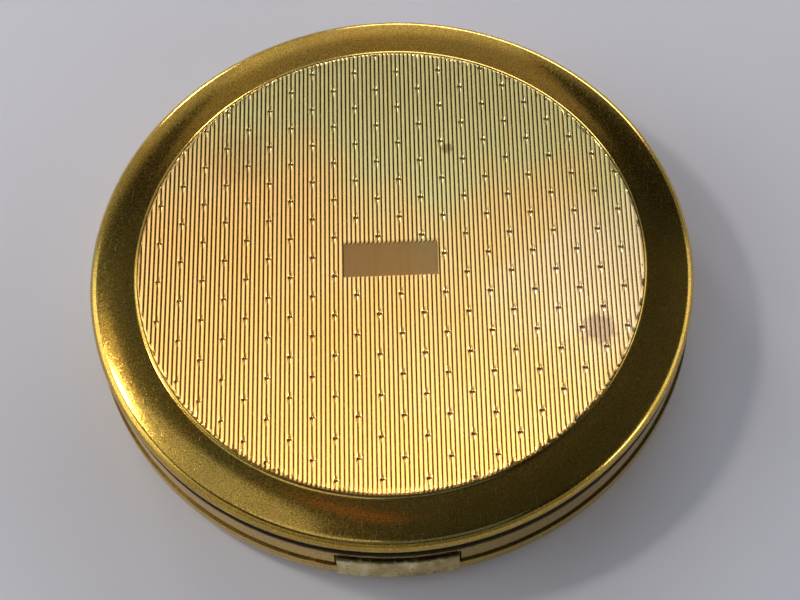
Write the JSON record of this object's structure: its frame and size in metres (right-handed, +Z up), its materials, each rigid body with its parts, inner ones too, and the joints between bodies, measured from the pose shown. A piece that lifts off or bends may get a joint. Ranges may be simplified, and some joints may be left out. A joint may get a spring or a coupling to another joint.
{
  "type": "powder compact",
  "caption": "Round gilded powder compact lying lid down, with an engine-turned face, a back hinge, a thumb catch, a mirror, a sprung inner lid, a sifter and a puff.",
  "frame": {"origin": "on the floor at the centre of the round case, in the plane of the lid's flat face, which the compact lies on", "axes": "+Z up out of the engine-turned base face, -Y out of the thumb catch at the front, +Y out of the hinge at the back, +X to the right seen from the front; the lid is underneath, as in the picture"},
  "size_m": [0.076, 0.0767, 0.0125],
  "materials": {
    "case_gilt": "gilded brass, engine turned and polished, with hairline scratches and light tarnish",
    "lid_gilt": "gilded brass, brushed and polished, with rub marks",
    "frame_gilt": "bright gilded brass, finely brushed",
    "well_brass": "plain drawn brass",
    "catch_brass": "gilding worn through to dull brass, pitted with dirt",
    "pin_steel": "drawn steel wire",
    "spring_steel": "tempered spring steel",
    "mirror_silver": "silvered float glass, lightly dusty",
    "mirror_card": "grey-brown pressed card",
    "face_powder": "pressed face powder, matt and fine grained",
    "gauze_net": "fine woven nylon net",
    "puff_velour": "cotton velour pile",
    "puff_satin": "woven satin, softly shining"
  },
  "bodies": {
    "lid": {"lid_shell": "lid_gilt", "lid_catch": "catch_brass", "lid_hinge_leaf": "case_gilt", "mirror_card": "mirror_card", "mirror_glass": "mirror_silver", "mirror_bezel": "frame_gilt"},
    "base": {"base_shell": "case_gilt", "inner_frame": "frame_gilt", "powder_well": "well_brass", "powder_cake": "face_powder", "base_hinge_leaf": "case_gilt", "hinge_pin": "pin_steel", "inner_hinge_bracket": "frame_gilt", "inner_hinge_pin": "pin_steel", "inner_lid_spring": "spring_steel", "latch_spring": "spring_steel", "latch_rivets": "well_brass"},
    "inner_lid": {"inner_lid": "frame_gilt", "inner_lid_tab": "frame_gilt"},
    "sifter": {"sifter_ring": "frame_gilt", "sifter_gauze": "gauze_net", "sifter_hoop": "well_brass", "puff_pad": "puff_velour", "puff_backing": "puff_satin", "puff_ribbon": "puff_satin"}
  },
  "joints": [
    {"name": "case_hinge", "type": "hinge", "parent": "lid", "child": "base", "pos_m": [0, 0.0376, 0.0045], "axis": [-1, 0, 0], "range_deg": [0, 105]},
    {"name": "inner_lid_hinge", "type": "hinge", "parent": "base", "child": "inner_lid", "pos_m": [0, 0.0343, 0.00445], "axis": [1, 0, 0], "range_deg": [0, 50]},
    {"name": "sifter_turn", "type": "hinge", "parent": "base", "child": "sifter", "pos_m": [0, 0, 0.007], "axis": [0, 0, 1], "range_deg": [-180, 180]}
  ],
  "couplings": [
    {"joint": "inner_lid_hinge", "follows": "case_hinge", "ratio": 0.476}
  ]
}
